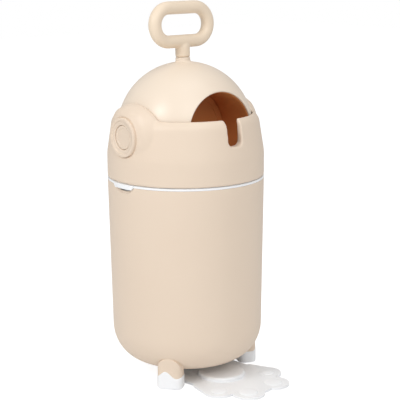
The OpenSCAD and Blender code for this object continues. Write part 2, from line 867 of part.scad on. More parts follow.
module drop_tube() {
    stop_r = tube_in - stop_w;
    color(brown) in_drum() rotate([90, 0, 0]) rotate_extrude() polygon([
        [tube_in, -tube_end + stop_t], [stop_r, -tube_end + stop_t], [stop_r, -tube_end],
        [tube_out, -tube_end], [tube_out, tube_end],
        [stop_r, tube_end], [stop_r, tube_end - stop_t], [tube_in, tube_end - stop_t]]);
}

module pivot_pin() {
    difference() {
        x_rod(pin_in + fit_gap, pin_out, pin_r);
        x_rod(pin_out - cap_peg_l - over, pin_out + over, cap_peg_r + seat_gap);
    }
}

module pivot_pin_left() { color(steel) in_drum() rotate([0, 0, 180]) pivot_pin(); }
module pivot_pin_right() { color(steel) in_drum() pivot_pin(); }

module pivot_cap() {
    x0 = pin_out + seat_gap;
    low = cap_t - cap_dish;
    x_rod(x0 - cap_peg_l, x0 + over, cap_peg_r);
    translate([x0, 0, 0]) rotate([0, 90, 0]) rotate_extrude() polygon([
        [0, 0], [cap_r, 0], [cap_r, cap_t - over], [cap_r - over, cap_t],
        [cap_r - cap_rim, cap_t], [cap_r - cap_rim - over, low], [0, low]]);
}

module pivot_cap_left() { color(beige) in_drum() rotate([0, 0, 180]) pivot_cap(); }
module pivot_cap_right() { color(beige) in_drum() pivot_cap(); }

// ---------- handle ----------

module handle() {
    foot = stem_joint + rest_gap;
    color(beige) in_drum() difference() {
        union() {
            translate([0, 0, foot]) cylinder(r = stem_r, h = ring_up - bar_half - foot);
            translate([0, 0, spigot_in + rest_gap]) cylinder(r = spigot_r, h = foot - spigot_in + over);
            for (s = [-1, 1]) {
                translate([-bar_l, 0, ring_up + s * bar_half]) rotate([0, 90, 0])
                    cylinder(r = grip_r, h = 2 * bar_l);
                translate([s * bar_l, 0, ring_up]) rotate([90, 0, 0]) rotate([0, 0, -s * 90])
                    rotate_extrude(angle = 180) translate([bar_half, 0]) circle(r = grip_r);
            }
        }
        translate([0, 0, spigot_in]) cylinder(r = handle_screw_r + run_gap, h = handle_screw_l);
    }
}

module handle_screw() {
    color(steel) in_drum() translate([0, 0, spigot_in - stem_seat - screw_head_t])
        screw(handle_screw_r, screw_head_r + over, screw_head_t, handle_screw_l);
}

// ---------- plunger ----------

module plunger_round(r0, r1, y0, y1) {
    in_drum() translate([0, y1, 0]) rotate([90, 0, 0]) difference() {
        cylinder(r = r1, h = y1 - y0);
        if (r0 > 0) translate([0, 0, -over]) cylinder(r = r0, h = y1 - y0 + 2 * over);
    }
}

module plunger() {
    back = plunger_t - plunger_at;
    color(brown) difference() {
        plunger_round(0, plunger_r, -plunger_at, back);
        plunger_round(plunger_r - groove_deep, plunger_r + over, -plunger_at + groove, back - groove);
        plunger_round(0, plunger_r - dish_rim, -plunger_at - over, -plunger_at + dish_deep);
    }
}

module plunger_seal() {
    color(rubber) plunger_round(plunger_r - groove_deep + seat_gap, tube_in - seal_play,
        -plunger_at + groove + seat_gap, -plunger_at + plunger_t - groove - seat_gap);
}

base_shell();
foot_front_left();
foot_front_right();
foot_back();
foot_grips();
foot_screws();
foot_plate();
main_pad();
toe_pads();
plate_soles();
plate_guide();
guide_screws();
bag_ring();
head_shell();
drum_cradle();
outlet_seal();
drum_seal();
cradle_screws();
pivot_bush_left();
pivot_bush_right();
hub_ring_left();
hub_ring_right();
drum_shell();
drop_tube();
pivot_pin_left();
pivot_pin_right();
pivot_cap_left();
pivot_cap_right();
handle();
handle_screw();
plunger();
plunger_seal();
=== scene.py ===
# %% [markdown]
# # A nappy bin with a drum that flips over
#
# The imported CAD model arrives with every piece at its real size and in its real place. This lesson
# gives it the looks of the real bin: satin beige plastic with soft moulded edges, a tube inside the
# drum coloured brown as painted shade, and white feet and foot plate. Everything is in metres, with
# +Z up and the front at -Y.

# %% Load the imported frame
import json
import math

import bpy
from mathutils import Matrix, Quaternion, Vector


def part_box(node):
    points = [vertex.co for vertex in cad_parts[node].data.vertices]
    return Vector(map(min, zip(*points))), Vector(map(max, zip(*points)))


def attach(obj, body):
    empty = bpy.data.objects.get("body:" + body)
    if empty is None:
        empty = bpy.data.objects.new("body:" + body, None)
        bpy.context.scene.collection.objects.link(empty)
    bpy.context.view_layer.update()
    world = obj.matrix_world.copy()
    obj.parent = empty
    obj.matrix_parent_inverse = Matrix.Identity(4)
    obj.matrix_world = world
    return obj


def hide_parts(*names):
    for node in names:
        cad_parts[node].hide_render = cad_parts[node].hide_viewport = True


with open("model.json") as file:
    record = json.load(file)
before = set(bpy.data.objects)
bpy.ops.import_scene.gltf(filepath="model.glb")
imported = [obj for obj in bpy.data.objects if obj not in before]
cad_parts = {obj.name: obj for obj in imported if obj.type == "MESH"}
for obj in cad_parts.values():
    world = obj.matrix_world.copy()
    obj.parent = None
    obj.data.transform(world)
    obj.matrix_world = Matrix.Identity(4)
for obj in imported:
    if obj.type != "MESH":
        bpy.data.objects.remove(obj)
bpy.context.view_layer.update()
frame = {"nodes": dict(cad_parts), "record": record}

# %% [markdown]
# Every new piece has to sit where the CAD says. So the main heights are read from the boxes of the
# nodes, and only the sizes that a box doesn't give are written down here.

# %% Heights and radii that all the pieces share
rim_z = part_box("base_shell")[1].z
hub_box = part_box("hub_ring_right")
hub_z = (hub_box[0].z + hub_box[1].z) / 2
body_radius = 0.140
wall = 0.003
ring_top = rim_z + 0.0002 + 0.0035
head_low = ring_top + 0.001
drum_tilt = math.radians(2.4)
base_turn = 6
print(f"rim at {rim_z:.4f}, head from {head_low:.4f}, hubs at {hub_z:.4f}")

# %% [markdown]
# ## Camera, light and floor
#
# The camera comes first, because it settles which side matters most. The bin was photographed from
# its front left, a little above its middle, with a long lens: that keeps the upright edges upright.

# %% Camera at the photograph's viewing angle
camera_place = Vector((-1.33805, -1.63046, 0.76850))
view_direction = Vector((0.62912, 0.74833, -0.21025))
camera_roll = math.radians(-0.42)

camera_data = bpy.data.cameras.new("camera")
camera_data.lens = 107.56
camera_data.sensor_width = 36
camera = bpy.data.objects.new("camera", camera_data)
bpy.context.scene.collection.objects.link(camera)
camera.rotation_mode = "QUATERNION"
camera.location = camera_place
camera.rotation_quaternion = (view_direction.to_track_quat("-Z", "Y")
                              @ Quaternion((0, 0, 1), camera_roll))
bpy.context.scene.camera = camera
bpy.context.scene.view_settings.view_transform = "Standard"
print("camera is", round((camera_place - Vector((0, 0, 0.33))).length, 2), "m from the bin")

# %% [markdown]
# A product photograph like this one is lit by a large soft lamp on one side, a weaker one on the
# other side, and by the white room itself. Area lamps give the soft edge of light, and the world
# gives the rest. The world is white where the camera or glass sees it, and dimmer as a lamp.

# %% Lamps and world
aim = Vector((0, 0, 0.36))


def soft_lamp(name, azimuth, elevation, distance, size, power):
    """A square area lamp that looks at the bin from a direction given in degrees."""
    a, e = math.radians(azimuth), math.radians(elevation)
    towards = Vector((math.sin(a) * math.cos(e), -math.cos(a) * math.cos(e), math.sin(e)))
    data = bpy.data.lights.new(name, "AREA")
    data.size = size
    data.energy = power
    lamp = bpy.data.objects.new(name, data)
    bpy.context.scene.collection.objects.link(lamp)
    lamp.rotation_mode = "QUATERNION"
    lamp.location = aim + towards * distance
    lamp.rotation_quaternion = (-towards).to_track_quat("-Z", "Y")
    return lamp


soft_lamp("key_lamp", -88, 35, 1.9, 0.42, 10)
soft_lamp("front_lamp", -24, 40, 2.6, 1.6, 19)
soft_lamp("top_lamp", 10, 78, 2.2, 1.4, 7)

room_light = 0.54
world = bpy.data.worlds.new("white_room")
bpy.context.scene.world = world
world.use_nodes = True
nodes, links = world.node_tree.nodes, world.node_tree.links
nodes.clear()
seen_room = nodes.new("ShaderNodeBackground")
seen_room.inputs["Color"].default_value = (1, 1, 1, 1)
seen_room.inputs["Strength"].default_value = 1
lit_room = nodes.new("ShaderNodeBackground")
lit_room.inputs["Color"].default_value = (0.99, 0.995, 1, 1)
lit_room.inputs["Strength"].default_value = room_light
path = nodes.new("ShaderNodeLightPath")
either = nodes.new("ShaderNodeMath")
either.operation = "MAXIMUM"
choose = nodes.new("ShaderNodeMixShader")
world_out = nodes.new("ShaderNodeOutputWorld")
links.new(path.outputs["Is Camera Ray"], either.inputs[0])
links.new(path.outputs["Is Transmission Ray"], either.inputs[1])
links.new(either.outputs[0], choose.inputs["Fac"])
links.new(lit_room.outputs[0], choose.inputs[1])
links.new(seen_room.outputs[0], choose.inputs[2])
links.new(choose.outputs[0], world_out.inputs["Surface"])

# %% [markdown]
# The floor is one pale plane. It has to look as white as the backdrop and still hold the bin's soft
# shadow, so what the camera sees is a mix of plain white light and the real, shaded surface.

# %% Pale floor
floor_own_share = 0.45

floor_material = bpy.data.materials.new("pale_floor")
floor_material.use_nodes = True
nodes, links = floor_material.node_tree.nodes, floor_material.node_tree.links
nodes.clear()
shaded = nodes.new("ShaderNodeBsdfDiffuse")
shaded.inputs["Color"].default_value = (0.95, 0.95, 0.95, 1)
white = nodes.new("ShaderNodeEmission")
white.inputs["Color"].default_value = (1, 1, 1, 1)
white.inputs["Strength"].default_value = 1.55
path = nodes.new("ShaderNodeLightPath")
share = nodes.new("ShaderNodeMath")
share.operation = "MULTIPLY"
share.inputs[1].default_value = 1 - floor_own_share
choose = nodes.new("ShaderNodeMixShader")
floor_out = nodes.new("ShaderNodeOutputMaterial")
links.new(path.outputs["Is Camera Ray"], share.inputs[0])
links.new(share.outputs[0], choose.inputs["Fac"])
links.new(shaded.outputs[0], choose.inputs[1])
links.new(white.outputs[0], choose.inputs[2])
links.new(choose.outputs[0], floor_out.inputs["Surface"])

bpy.ops.object.select_all(action="DESELECT")
bpy.ops.mesh.primitive_plane_add(size=14, location=(0, 0, 0))
floor = bpy.context.object
floor.name = "floor"
floor.data.materials.append(floor_material)
print("floor is", floor.dimensions.x, "m wide")

# %% [markdown]
# ## Materials
#
# Moulded plastic is never one flat colour. Its tone drifts a little over a hand's width, the steel
# mould leaves a grain of about half a millimetre, and the gloss varies with that grain. Three noise
# textures on Object coordinates give those three things, and they stay in place when a piece moves.

# %% A moulded plastic, made from its colour, gloss and grain


def moulded(name, light, deep, roughness, grain=1600, relief=0.00004, sheen=0.0, drift=7):
    """Plastic whose tone drifts from light to deep, with a fine grain that also varies the gloss."""
    material = bpy.data.materials.new(name)
    material.use_nodes = True
    nodes, links = material.node_tree.nodes, material.node_tree.links
    shader = nodes["Principled BSDF"]
    place = nodes.new("ShaderNodeTexCoord")

    cloud = nodes.new("ShaderNodeTexNoise")
    cloud.inputs["Scale"].default_value = drift
    cloud.inputs["Detail"].default_value = 3
    tone = nodes.new("ShaderNodeMix")
    tone.data_type = "RGBA"
    tone.inputs["A"].default_value = (*light, 1)
    tone.inputs["B"].default_value = (*deep, 1)
    links.new(place.outputs["Object"], cloud.inputs["Vector"])
    links.new(cloud.outputs["Fac"], tone.inputs["Factor"])
    links.new(tone.outputs["Result"], shader.inputs["Base Color"])

    fine = nodes.new("ShaderNodeTexNoise")
    fine.inputs["Scale"].default_value = grain
    fine.inputs["Detail"].default_value = 2
    bump = nodes.new("ShaderNodeBump")
    bump.inputs["Strength"].default_value = 0.35
    bump.inputs["Distance"].default_value = relief
    links.new(place.outputs["Object"], fine.inputs["Vector"])
    links.new(fine.outputs["Fac"], bump.inputs["Height"])
    links.new(bump.outputs["Normal"], shader.inputs["Normal"])

    patch = nodes.new("ShaderNodeTexNoise")
    patch.inputs["Scale"].default_value = grain / 40
    patch.inputs["Detail"].default_value = 4
    gloss = nodes.new("ShaderNodeMapRange")
    gloss.inputs["To Min"].default_value = roughness - 0.05
    gloss.inputs["To Max"].default_value = roughness + 0.05
    links.new(place.outputs["Object"], patch.inputs["Vector"])
    links.new(patch.outputs["Fac"], gloss.inputs["Value"])
    links.new(gloss.outputs["Result"], shader.inputs["Roughness"])

    if sheen:
        shader.inputs["Sheen Weight"].default_value = sheen
        shader.inputs["Sheen Roughness"].default_value = 0.4
    return material


beige_shell = moulded("beige_shell", (0.795, 0.660, 0.530), (0.770, 0.628, 0.497), 0.46)
dome_shell = moulded("dome_shell", (0.825, 0.706, 0.580), (0.805, 0.680, 0.552), 0.36, relief=0.00002)
beige_handle = moulded("beige_handle", (0.820, 0.690, 0.540), (0.800, 0.655, 0.500), 0.42, relief=0.00003)
# Painted shade: the tube and plunger are beige plastic like the shell, and this brown stands in for the deep shade
# inside the drum. It is set bright to make up for the little light that gets in.
tube_brown = moulded("tube_brown", (0.720, 0.290, 0.095), (0.650, 0.250, 0.078), 0.45, relief=0.00003)
white_plastic = moulded("white_plastic", (0.920, 0.930, 0.945), (0.900, 0.910, 0.925), 0.42, relief=0.00003)
white_soft = moulded("white_soft", (0.925, 0.935, 0.950), (0.905, 0.915, 0.930), 0.58, sheen=0.15)
grey_rubber = moulded("grey_rubber", (0.130, 0.127, 0.125), (0.110, 0.108, 0.106), 0.72, relief=0.00008)
print("plastics:", [m.name for m in (beige_shell, dome_shell, beige_handle, tube_brown)])

# %% [markdown]
# The screws and pivot pins are plated steel. A stretched noise gives the faint lines of turning.

# %% Plated steel
steel = bpy.data.materials.new("steel")
steel.use_nodes = True
nodes, links = steel.node_tree.nodes, steel.node_tree.links
shader = nodes["Principled BSDF"]
shader.inputs["Metallic"].default_value = 1
place = nodes.new("ShaderNodeTexCoord")
stretch = nodes.new("ShaderNodeMapping")
stretch.inputs["Scale"].default_value = (4, 60, 60)
turning = nodes.new("ShaderNodeTexNoise")
turning.inputs["Scale"].default_value = 30
tone = nodes.new("ShaderNodeMix")
tone.data_type = "RGBA"
tone.inputs["A"].default_value = (0.50, 0.51, 0.53, 1)
tone.inputs["B"].default_value = (0.42, 0.43, 0.45, 1)
gloss = nodes.new("ShaderNodeMapRange")
gloss.inputs["To Min"].default_value = 0.22
gloss.inputs["To Max"].default_value = 0.40
links.new(place.outputs["Object"], stretch.inputs["Vector"])
links.new(stretch.outputs["Vector"], turning.inputs["Vector"])
links.new(turning.outputs["Fac"], tone.inputs["Factor"])
links.new(turning.outputs["Fac"], gloss.inputs["Value"])
links.new(tone.outputs["Result"], shader.inputs["Base Color"])
links.new(gloss.outputs["Result"], shader.inputs["Roughness"])
print("metal:", steel.name)

# %% [markdown]
# Pieces that keep their CAD shape take their finish from the record's own slots. The materials above
# carry the same names as those slots, so one loop dresses every node.

# %% Dress the CAD nodes
finishes = {"beige_shell": beige_shell, "dome_shell": dome_shell, "beige_handle": beige_handle,
            "tube_brown": tube_brown, "white_plastic": white_plastic, "white_soft": white_soft,
            "grey_rubber": grey_rubber, "steel": steel}
slot_of = {part["node"]: part["material_slot"] for part in frame["record"]["subparts"]}
for name, node in frame["nodes"].items():
    node.data.materials.clear()
    node.data.materials.append(finishes[slot_of[name]])
print("dressed", len(slot_of), "nodes")

# %% [markdown]
# ## Tools for modelling
#
# Nearly everything on this bin was turned or moulded round. The quickest way to such a shape is the
# way a potter works: draw half of the section as a line of points, then spin it about its axis. The
# line starts as a single vertex, and each next one is extruded from the last.

# %% Draw a line and spin it


def clear_selection():
    bpy.ops.object.select_all(action="DESELECT")


def trace(name, points):
    """A line through the points, drawn by extruding one vertex after another."""
    clear_selection()
    bpy.ops.mesh.primitive_plane_add(size=0.01)
    piece = bpy.context.object
    piece.name = name
    bpy.ops.object.mode_set(mode="EDIT")
    bpy.ops.mesh.select_mode(type="VERT")
    bpy.ops.mesh.select_all(action="SELECT")
    bpy.ops.mesh.merge(type="CENTER")
    bpy.ops.transform.translate(value=points[0])
    for here, there in zip(points, points[1:]):
        step = Vector(there) - Vector(here)
        bpy.ops.mesh.extrude_vertices_move(TRANSFORM_OT_translate={"value": step})
    bpy.ops.object.mode_set(mode="OBJECT")
    return piece


def lathe(name, profile, axis="Z", steps=144, centre=(0, 0, 0)):
    """Spins a profile of (radius, height) pairs about an axis through the centre."""
    place = {"Z": lambda r, h: (r, 0, h), "Y": lambda r, h: (r, h, 0), "X": lambda r, h: (h, r, 0)}[axis]
    turn = {"Z": (0, 0, 1), "Y": (0, 1, 0), "X": (1, 0, 0)}[axis]
    middle = Vector(centre)
    piece = trace(name, [middle + Vector(place(r, h)) for r, h in profile])
    bpy.ops.object.mode_set(mode="EDIT")
    bpy.ops.mesh.select_all(action="SELECT")
    bpy.ops.mesh.spin(steps=steps, angle=2 * math.pi, center=middle, axis=turn, use_auto_merge=True)
    bpy.ops.mesh.select_all(action="SELECT")
    bpy.ops.mesh.remove_doubles(threshold=0.00001)
    bpy.ops.mesh.normals_make_consistent(inside=False)
    bpy.ops.object.mode_set(mode="OBJECT")
    return piece


def bow(centre, radii, start, stop, count):
    """Points on an ellipse about a centre, from one angle to another in degrees."""
    angles = [math.radians(start + (stop - start) * i / count) for i in range(count + 1)]
    return [(centre[0] + radii[0] * math.cos(a), centre[1] + radii[1] * math.sin(a)) for a in angles]


print("drawing tools ready")

# %% [markdown]
# Two shapes become one with a Boolean modifier, and it also cuts holes. Where edges have to run into
# each other softly, as on a moulding, a voxel Remesh turns the whole piece into small even squares,
# and a Smooth modifier then rounds every edge by about the same amount.

# %% Join, cut, soften and hand over a piece


def apply_all(piece):
    clear_selection()
    piece.select_set(True)
    bpy.context.view_layer.objects.active = piece
    for modifier in list(piece.modifiers):
        bpy.ops.object.modifier_apply(modifier=modifier.name)


def combine(piece, tool, operation):
    """UNION, DIFFERENCE or INTERSECT of a piece with a tool, which is used up."""
    boolean = piece.modifiers.new(operation.lower(), "BOOLEAN")
    boolean.operation = operation
    boolean.solver = "EXACT"
    boolean.object = tool
    apply_all(piece)
    bpy.data.objects.remove(tool)
    return piece


def soften(piece, voxel, rounds):
    """Rounds all edges: small even squares first, then smoothing."""
    remesh = piece.modifiers.new("remesh", "REMESH")
    remesh.mode = "VOXEL"
    remesh.voxel_size = voxel
    smooth = piece.modifiers.new("smooth", "SMOOTH")
    smooth.factor = 0.5
    smooth.iterations = rounds
    apply_all(piece)
    bpy.ops.object.shade_smooth()
    return piece


def place(piece, location=(0, 0, 0), turn=(0, 0, 0)):
    """Moves and turns a piece, and puts its place into its mesh."""
    clear_selection()
    piece.select_set(True)
    bpy.context.view_layer.objects.active = piece
    piece.location = location
    piece.rotation_euler = turn
    bpy.ops.object.transform_apply(location=True, rotation=True, scale=True)
    return piece


def hand_over(piece, body, slot, *nodes, crease=None):
    """Gives the piece its shading, finish, body and the CAD nodes that it stands for."""
    place(piece)
    if crease:
        bpy.ops.object.shade_smooth_by_angle(angle=math.radians(crease))
    piece.data.materials.clear()
    piece.data.materials.append(finishes[slot])
    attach(piece, body)
    if nodes:
        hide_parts(*nodes)
    print(f"{piece.name}: {len(piece.data.polygons)} faces, rides on {body}")
    return piece


print("joining tools ready")

# %% [markdown]
# ## The pail
#
# The lower half is one blow of beige plastic: a wall that tapers in by four millimetres, a bottom
# that rounds off like a bowl, and a lip. One closed section gives the outer and inner skin together.

# %% Pail wall
low_radius = 0.1356
belly_low = 0.0253
belly_run, belly_rise = 0.0583, 0.0647
belly_centre = (low_radius - belly_run, belly_low + belly_rise)


def pail_skin(inset, top):
    """Outline from the middle of the bottom up to the rim, drawn in by the inset."""
    curve = bow(belly_centre, (belly_run - inset, belly_rise - inset), 270, 360, 28)
    levels = [belly_centre[1] + (rim_z - belly_centre[1]) * i / 14 for i in range(1, 14)]
    lean = (body_radius - low_radius) / (rim_z - belly_centre[1])
    side = [(low_radius - inset + lean * (z - belly_centre[1]), z) for z in levels]
    return [(0, belly_low + inset), (0.04, belly_low + inset)] + curve + side + [(body_radius - inset, top)]


lip = wall / 2
pail_section = (pail_skin(0, rim_z - lip)
                + bow((body_radius - lip, rim_z - lip), (lip, lip), 0, 180, 8)[1:-1]
                + pail_skin(wall, rim_z - lip)[::-1])
pail = lathe("pail", pail_section, steps=192)
print("pail:", len(pail.data.polygons), "faces")

# %% [markdown]
# Three short legs swell out of the rounded bottom. Each is a column with rounded corners under a
# half round top. It is modelled once over its own foot, softened, and turned to its three places.

# %% Legs of the pail
foot_distance = 0.112
foot_angles = {"front_left": base_turn - 151, "front_right": base_turn - 29, "back": base_turn + 72}
leg_width, leg_depth, leg_corner = 0.044, 0.032, 0.010
leg_top = 0.057
wave_middle, wave_height, wave_droop = 0.0275, 0.0062, 0.0035
crest_at, dip_at = -0.0065, 0.0150
shoe_width, shoe_depth, shoe_corner = 0.046, 0.034, 0.011


def pick_edges(piece, wanted):
    """Selects the edges whose two ends pass a test, and leaves edit mode on."""
    bpy.ops.object.mode_set(mode="EDIT")
    bpy.ops.mesh.select_mode(type="EDGE")
    bpy.ops.mesh.select_all(action="DESELECT")
    bpy.ops.object.mode_set(mode="OBJECT")
    for edge in piece.data.edges:
        a, b = (piece.data.vertices[i].co for i in edge.vertices)
        edge.select = wanted(a, b)
    bpy.ops.object.mode_set(mode="EDIT")


def column(name, depth, width, corner, low, high):
    """A block with rounded upright edges, standing on the Z axis."""
    clear_selection()
    bpy.ops.mesh.primitive_cube_add(size=1, location=(0, 0, (low + high) / 2), scale=(depth, width, high - low))
    piece = bpy.context.object
    piece.name = name
    bpy.ops.object.transform_apply(location=True, rotation=True, scale=True)
    pick_edges(piece, lambda a, b: abs(a.z - b.z) > 0.001)
    bpy.ops.mesh.bevel(offset=corner, segments=8, affect="EDGES")
    bpy.ops.object.mode_set(mode="OBJECT")
    return piece


def slab(name, outline, half_depth):
    """A closed outline of (y, z) points, filled and extruded along X."""
    ring = [(-half_depth, y, z) for y, z in outline]
    piece = trace(name, ring)
    bpy.ops.object.mode_set(mode="EDIT")
    bpy.ops.mesh.select_all(action="SELECT")
    bpy.ops.mesh.edge_face_add()
    bpy.ops.mesh.extrude_region_move(TRANSFORM_OT_translate={"value": (2 * half_depth, 0, 0)})
    bpy.ops.mesh.select_all(action="SELECT")
    bpy.ops.mesh.normals_make_consistent(inside=False)
    bpy.ops.object.mode_set(mode="OBJECT")
    return piece


def wave(y):
    """Height of the shoe's wavy edge across the shoe."""
    u = y / (shoe_width / 2)
    crest = math.cos(math.pi * (y - crest_at) / (dip_at - crest_at))
    return wave_middle - wave_droop * u * u + wave_height * (1 - 0.6 * u * u) * crest


arch_radius = leg_width / 2
leg = column("leg", leg_depth, leg_width, leg_corner, 0.012, leg_top + 0.002)
arch = [(-arch_radius, 0)] + bow((0, leg_top - arch_radius), (arch_radius, arch_radius), 180, 0, 40) + [(arch_radius, 0)]
combine(leg, slab("arch", arch, shoe_depth), "INTERSECT")
soften(leg, 0.0009, 7)
print("leg:", len(leg.data.polygons), "faces")

# %% Inside of the pail, cut out of the legs, and the joined base
inside = lathe("inside", pail_skin(wall / 2, rim_z) + [(0, rim_z)], steps=96)
for name, angle in foot_angles.items():
    clear_selection()
    copy = leg.copy()
    copy.data = leg.data.copy()
    bpy.context.scene.collection.objects.link(copy)
    turn = math.radians(angle)
    place(copy, (foot_distance * math.cos(turn), foot_distance * math.sin(turn), 0), (0, 0, turn))
    hollow = inside.copy()
    hollow.data = inside.data.copy()
    bpy.context.scene.collection.objects.link(hollow)
    combine(copy, hollow, "DIFFERENCE")
    combine(pail, copy, "UNION")
bpy.data.objects.remove(inside)
bpy.data.objects.remove(leg)
print("pail with its legs:", len(pail.data.polygons), "faces")

# %% [markdown]
# Under each white tab the wall is scooped in, so that a finger gets behind the tab. The scoop is a
# capsule, cut out of the wall where the tab ends.

# %% Finger scoops
tab_width, tab_drop = 0.054, 0.0076
scoop_radius, scoop_depth = 0.0085, 0.004
scoop_half = tab_width / 2 - 0.0035 - scoop_radius
scoop_z = ring_top - tab_drop - 0.0004
for side in (-1, 1):
    ends = (bow((0, -scoop_half), (scoop_radius, scoop_radius), -90, 0, 8)
            + bow((0, scoop_half), (scoop_radius, scoop_radius), 0, 90, 8))
    middle = (side * (body_radius + scoop_radius - scoop_depth), 0, scoop_z)
    scoop = lathe("scoop", ends, axis="Y", steps=40, centre=middle)
    combine(pail, scoop, "DIFFERENCE")
hand_over(pail, "base", "beige_shell", "base_shell", crease=32)

# %% [markdown]
# ## The shoes
#
# Each leg stands in a white shoe. Its upper edge is a wave, like icing that has run down, and stands
# one millimetre proud of the leg. The wave is an outline that cuts the column from the side.

# %% White shoes
shoe_low = 0.001
shoe = column("shoe", shoe_depth, shoe_width, shoe_corner, shoe_low, 0.05)
wave_steps = 48
edge = [(shoe_width * (1.2 * i / wave_steps - 0.6)) for i in range(wave_steps + 1)]
under = [(y, wave(max(-shoe_width / 2, min(shoe_width / 2, y)))) for y in edge]
combine(shoe, slab("wave", [(edge[0], -0.01)] + under + [(edge[-1], -0.01)], shoe_depth), "INTERSECT")
combine(shoe, column("recess", shoe_depth - 0.0096, shoe_width - 0.0096, 0.0055, -0.01, 0.0031), "DIFFERENCE")
belly = lathe("belly", pail_skin(-0.0003, rim_z) + [(0, rim_z)], steps=96, centre=(-foot_distance, 0, 0))
combine(shoe, belly, "DIFFERENCE")
soften(shoe, 0.0008, 14)
for name, angle in foot_angles.items():
    copy = shoe.copy()
    copy.data = shoe.data.copy()
    copy.name = "shoe_" + name
    bpy.context.scene.collection.objects.link(copy)
    turn = math.radians(angle)
    place(copy, (foot_distance * math.cos(turn), foot_distance * math.sin(turn), 0), (0, 0, turn))
    hand_over(copy, "base", "white_plastic", "foot_" + name)
bpy.data.objects.remove(shoe)

# %% [markdown]
# ## The head
#
# The collar starts as a turned shell: upright at first, then leaning in by nine degrees, with a
# thick soft shoulder at its edge. Round bulges carry the hubs, and a third of the way down the front
# and the back a notch lets the handle's stem through. All of that is one moulding, so it is joined
# first and softened last.

# %% Collar
lean = 8.8
lean_start = -0.042
bend = 0.060
shoulder, shoulder_stop = 0.022, 60
edge_up = 0.031
clear_radius = 0.122


def collar_side(inset):
    """Outline of the collar from the start of its lean up to its rounded edge."""
    bend_r, crown_r = bend - inset, shoulder - inset
    crown_z = edge_up - shoulder * math.sin(math.radians(shoulder_stop))
    bend_x = body_radius - bend
    end_x = bend_x + bend * math.cos(math.radians(lean))
    end_z = lean_start + bend * math.sin(math.radians(lean))
    run = (crown_z + shoulder * math.sin(math.radians(lean)) - end_z) / math.cos(math.radians(lean))
    crown_x = (end_x - run * math.sin(math.radians(lean))) - shoulder * math.cos(math.radians(lean))
    line = bow((bend_x, lean_start), (bend_r, bend_r), 0, lean, 6)
    line += bow((crown_x, crown_z), (crown_r, crown_r), lean, shoulder_stop, 16)
    return [(r, z + hub_z) for r, z in line]


def collar_solid(name, inset, low, reach=0.0):
    """The collar as a full turned solid, drawn in by the inset."""
    line = [(body_radius - inset, low)] + collar_side(inset)
    if reach:
        line.append((line[-1][0] - reach, line[-1][1] + reach))
    return lathe(name, [(0, low)] + line + [(0, line[-1][1])], steps=160)


pod_radius, pod_face, pod_flat = 0.064, 0.138, 0.022
crest_radius, crest_drop, crest_flat = 0.0784, 0.022, 0.0444
pod_root = math.sqrt(clear_radius ** 2 - pod_radius ** 2)
crest_root = math.sqrt(clear_radius ** 2 - (crest_radius - crest_drop) ** 2)


def lens(name, side, inset, radius, flat, root, face, drop):
    """Round bulge about the X axis, with a rim at the root and a flat at the face."""
    rim_x, face_x, low_x = root - 2 * inset, face - inset, root - 0.02
    dome = bow((flat, rim_x), (radius - inset - flat, face_x - rim_x), 90, 0, 20)
    line = [(0, face_x)] + dome + [(radius - inset, low_x), (0, low_x)]
    return lathe(name, [(r, side * x) for r, x in line], axis="X", steps=112, centre=(0, 0, hub_z - drop))


def pod(name, side, inset):
    """Bulge about a hub: a lens, trimmed at its top by a flatter one."""
    piece = lens(name, side, inset, pod_radius, pod_flat, pod_root, pod_face, 0)
    flatter = lens("flatter", side, inset, crest_radius, crest_flat, crest_root, pod_face + 0.0007, crest_drop)
    return combine(piece, flatter, "INTERSECT")


head = collar_solid("head", 0, head_low)
for side in (-1, 1):
    combine(head, pod("pod", side, 0), "UNION")
hollow = collar_solid("hollow", wall, head_low - 0.01, reach=0.006)
for side in (-1, 1):
    combine(hollow, pod("pod", side, wall), "UNION")
combine(head, hollow, "DIFFERENCE")
print("head so far:", len(head.data.polygons), "faces")

# %% [markdown]
# Now the inner parts of the same moulding: the spigot that drops into the bag ring, the lining of
# the notch, and the seats of the two hubs. Then the ball's clearance and the notch are cut out, and
# the whole head is softened, which rounds the notch and blends the bulges into the shoulder.

# %% Spigot, notch and hub seats
spigot_radius, spigot_low = 0.1276, head_low - 0.004
notch_half, notch_corner, notch_wall = 0.015, 0.009, 0.003
hub_seat_radius, hub_floor = 0.0346, 0.134


def notch(name, half, corner, top):
    """A slot through front and back, as wide as twice its half, with rounded lower corners."""
    flat = half - corner
    outline = ([(-half, top)] + bow((-flat, corner - half), (corner, corner), 180, 270, 10)
               + bow((flat, corner - half), (corner, corner), 270, 360, 10) + [(half, top)])
    piece = slab(name, [(y, z + hub_z) for y, z in outline], 0.2)
    return place(piece, turn=(0, 0, math.pi / 2))


spigot_profile = [(spigot_radius - wall, spigot_low), (spigot_radius, spigot_low), (spigot_radius, head_low),
                  (body_radius - lip, head_low), (body_radius - lip, head_low + wall),
                  (spigot_radius - wall, head_low + wall), (spigot_radius - wall, spigot_low)]
combine(head, lathe("spigot", spigot_profile, steps=128), "UNION")
lining = collar_solid("lining", 0.0004, head_low)
combine(lining, notch("lining_form", notch_half + notch_wall, notch_corner + notch_wall, edge_up + 0.02), "INTERSECT")
combine(head, lining, "UNION")
for side in (-1, 1):
    seat = [(0, hub_floor - wall), (hub_seat_radius + wall, hub_floor - wall),
            (hub_seat_radius + wall, pod_face - 0.001), (0, pod_face - 0.001)]
    seat_solid = lathe("seat", [(r, side * x) for r, x in seat], axis="X", steps=96, centre=(0, 0, hub_z))
    combine(head, seat_solid, "UNION")

